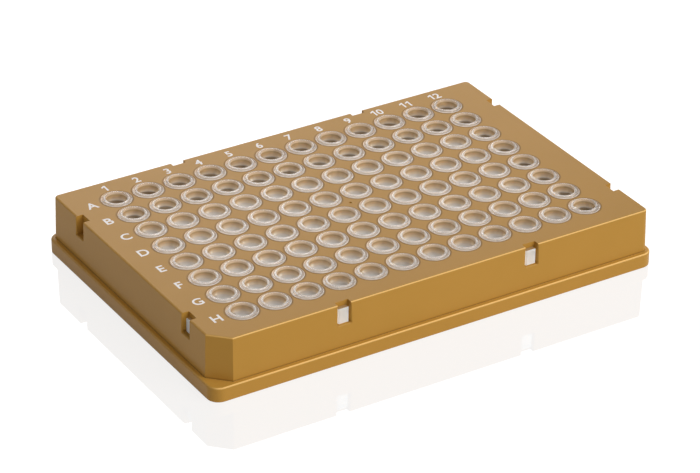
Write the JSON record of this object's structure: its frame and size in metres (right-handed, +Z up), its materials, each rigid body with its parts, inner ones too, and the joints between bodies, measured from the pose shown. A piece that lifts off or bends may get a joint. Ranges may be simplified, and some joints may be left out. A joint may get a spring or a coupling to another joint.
{
  "type": "well plate",
  "caption": "Low-profile full-skirt PCR well plate: a rigid ochre shell with a stepped base flange and a bevelled key corner, round a clear moulding of thin conical wells.",
  "frame": {"origin": "middle of the base footprint, on the resting plane", "axes": "+X along the plate from column 1 to column 12, +Y across it from row H to row A, +Z up out of the well mouths"},
  "size_m": [0.1278, 0.0854, 0.0161],
  "materials": {
    "shell": "satin moulded plastic, ochre, fine even texture",
    "well_moulding": "natural translucent polypropylene, smooth"
  },
  "bodies": {
    "root": {"shell": "shell", "well_moulding": "well_moulding"}
  },
  "joints": []
}
